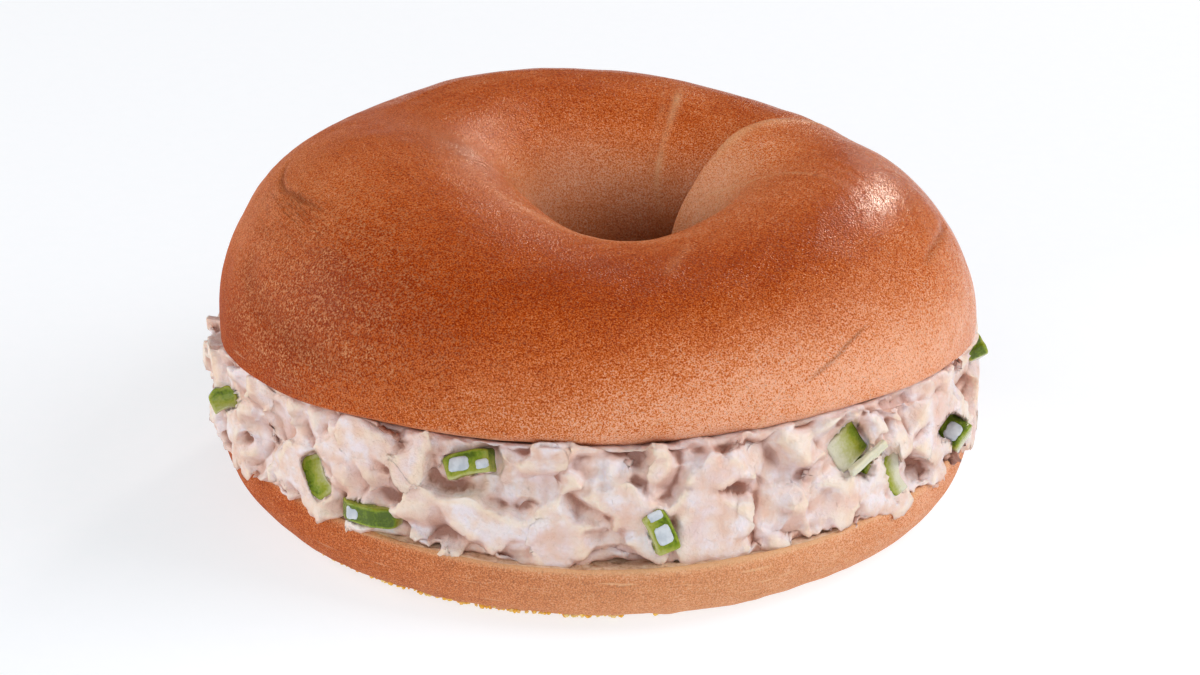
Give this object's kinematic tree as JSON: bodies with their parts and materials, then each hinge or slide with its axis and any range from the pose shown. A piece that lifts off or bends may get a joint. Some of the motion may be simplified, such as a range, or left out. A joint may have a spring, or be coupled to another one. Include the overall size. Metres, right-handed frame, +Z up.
{
  "type": "filled bagel",
  "caption": "Round ring bagel, cut level and filled with chunky meat salad and diced celery; the upper half is domed and sits a little open in front, the lower half is a flat-footed dish.",
  "frame": {"origin": "middle of the bagel's footprint, on the surface that it stands on", "axes": "+Z up through the bagel; -Y towards the side where the halves stand furthest apart; +X to the right seen from there"},
  "size_m": [0.1214, 0.1174, 0.056],
  "materials": {
    "crust": "satin baked crust, orange-brown",
    "cut_bagel": "satin baked crust with a matt cut face",
    "salad": "wet, dressed meat, pale pinkish cream",
    "celery": "wet, fresh green"
  },
  "bodies": {
    "root": {"bagel_top": "crust", "bagel_bottom": "cut_bagel", "salad_filling": "salad", "celery_01": "celery", "celery_02": "celery", "celery_03": "celery", "celery_04": "celery", "celery_05": "celery", "celery_06": "celery", "celery_07": "celery", "celery_08": "celery", "celery_09": "celery", "celery_10": "celery", "celery_11": "celery", "celery_12": "celery", "celery_13": "celery", "celery_14": "celery", "celery_15": "celery", "celery_16": "celery", "celery_17": "celery", "celery_18": "celery", "celery_19": "celery"}
  },
  "joints": []
}
